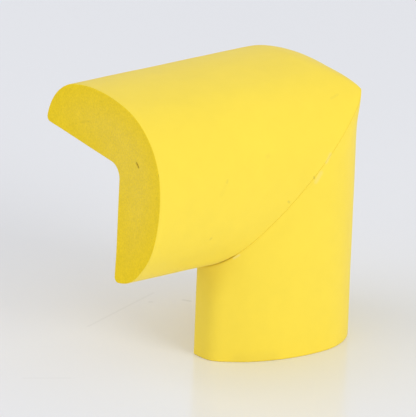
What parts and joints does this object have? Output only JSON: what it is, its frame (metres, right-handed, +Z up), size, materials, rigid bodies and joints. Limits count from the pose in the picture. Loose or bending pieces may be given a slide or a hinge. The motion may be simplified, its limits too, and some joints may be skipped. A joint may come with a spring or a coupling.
{
  "type": "furniture corner protector",
  "caption": "Soft yellow foam guard for a furniture corner: a rounded L-section strip, notched, folded square and glued so that it covers an upright edge and a top edge.",
  "frame": {"origin": "on the furniture's upright edge, which the guard's inner corner follows, at the flat end of the standing leg", "axes": "+Z up along the furniture's upright edge, -X along its top edge, which the other leg covers, +Y into the furniture, away from the two arms in front"},
  "size_m": [0.0546, 0.0349, 0.0536],
  "materials": {
    "foam": "matte closed-cell foam with a smooth moulded skin and fine-grained cut ends"
  },
  "bodies": {
    "root": {"corner_guard": "foam"}
  },
  "joints": []
}
